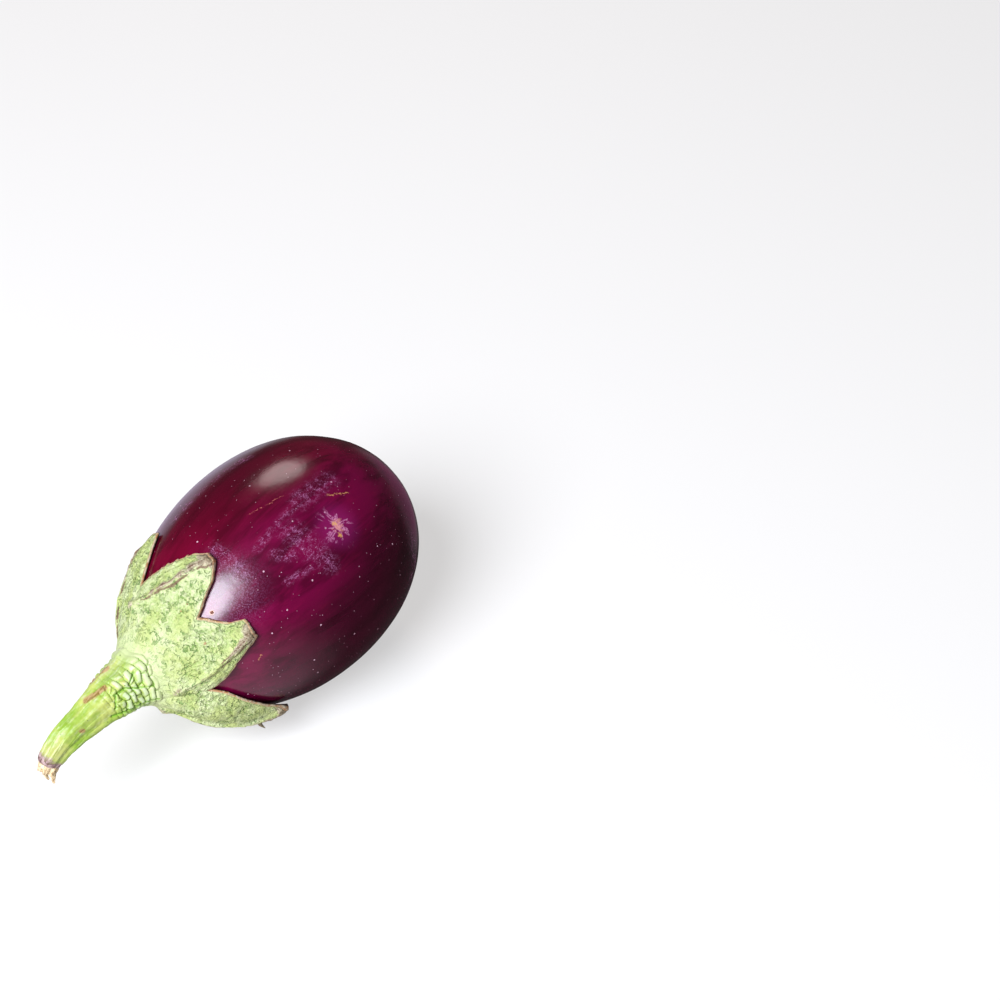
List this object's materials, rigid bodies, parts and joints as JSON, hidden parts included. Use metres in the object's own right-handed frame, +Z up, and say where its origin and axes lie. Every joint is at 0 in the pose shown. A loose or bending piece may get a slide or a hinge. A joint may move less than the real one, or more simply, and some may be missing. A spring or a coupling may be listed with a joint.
{
  "type": "eggplant",
  "caption": "Round-oval purple eggplant lying on its side, with a lobed green calyx cap and a short bent stem cut off at a dry frayed end.",
  "frame": {"origin": "centre of the small flat spot on the fruit's underside that it rests on, at the surface", "axes": "+Z up, +Y from the stem end towards the blossom end, +X to the right when looking along +Y"},
  "size_m": [0.0622, 0.1217, 0.062],
  "materials": {
    "skin": "satin-gloss waxy skin, dark purple with maroon streaks",
    "calyx": "matt, pitted and faintly downy, pale green with dry brown edges",
    "stem": "satin, ribbed and wrinkled green stalk",
    "dry_fibre": "matt dry frayed fibre"
  },
  "bodies": {
    "root": {"fruit": "skin", "calyx": "calyx", "stem": "stem", "stem_end": "dry_fibre"}
  },
  "joints": []
}
